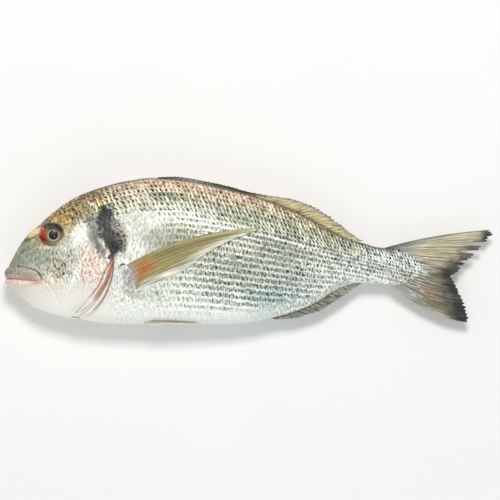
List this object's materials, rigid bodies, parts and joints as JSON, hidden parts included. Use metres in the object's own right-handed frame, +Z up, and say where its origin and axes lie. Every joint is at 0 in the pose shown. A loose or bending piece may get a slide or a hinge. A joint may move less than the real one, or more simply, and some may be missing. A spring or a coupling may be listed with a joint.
{
  "type": "whole sea bream",
  "caption": "Whole sea bream lying on its flank: deep silver body, steep forehead, folded back and belly fins, a long pectoral fin laid along the side and a forked tail.",
  "frame": {"origin": "centre of the bounding box at its lowest face, on the surface that the fish lies on", "axes": "+X from the snout to the tail, +Y from the belly to the back, +Z up, out of the left flank"},
  "size_m": [0.32, 0.098, 0.0403],
  "materials": {
    "skin": "wet scaled skin, glossy, silver with olive rows, pink along the back and white below",
    "eye": "wet cornea over a dark pupil and a pale gold iris",
    "fin": "damp olive and yellow rays with thin membrane, dark at the edges"
  },
  "bodies": {
    "root": {"body": "skin", "eye_left": "eye", "eye_right": "eye", "dorsal_fin": "fin", "anal_fin": "fin", "caudal_fin": "fin", "pectoral_fin_left": "fin", "pectoral_fin_right": "fin", "pelvic_fin_left": "fin", "pelvic_fin_right": "fin"}
  },
  "joints": []
}
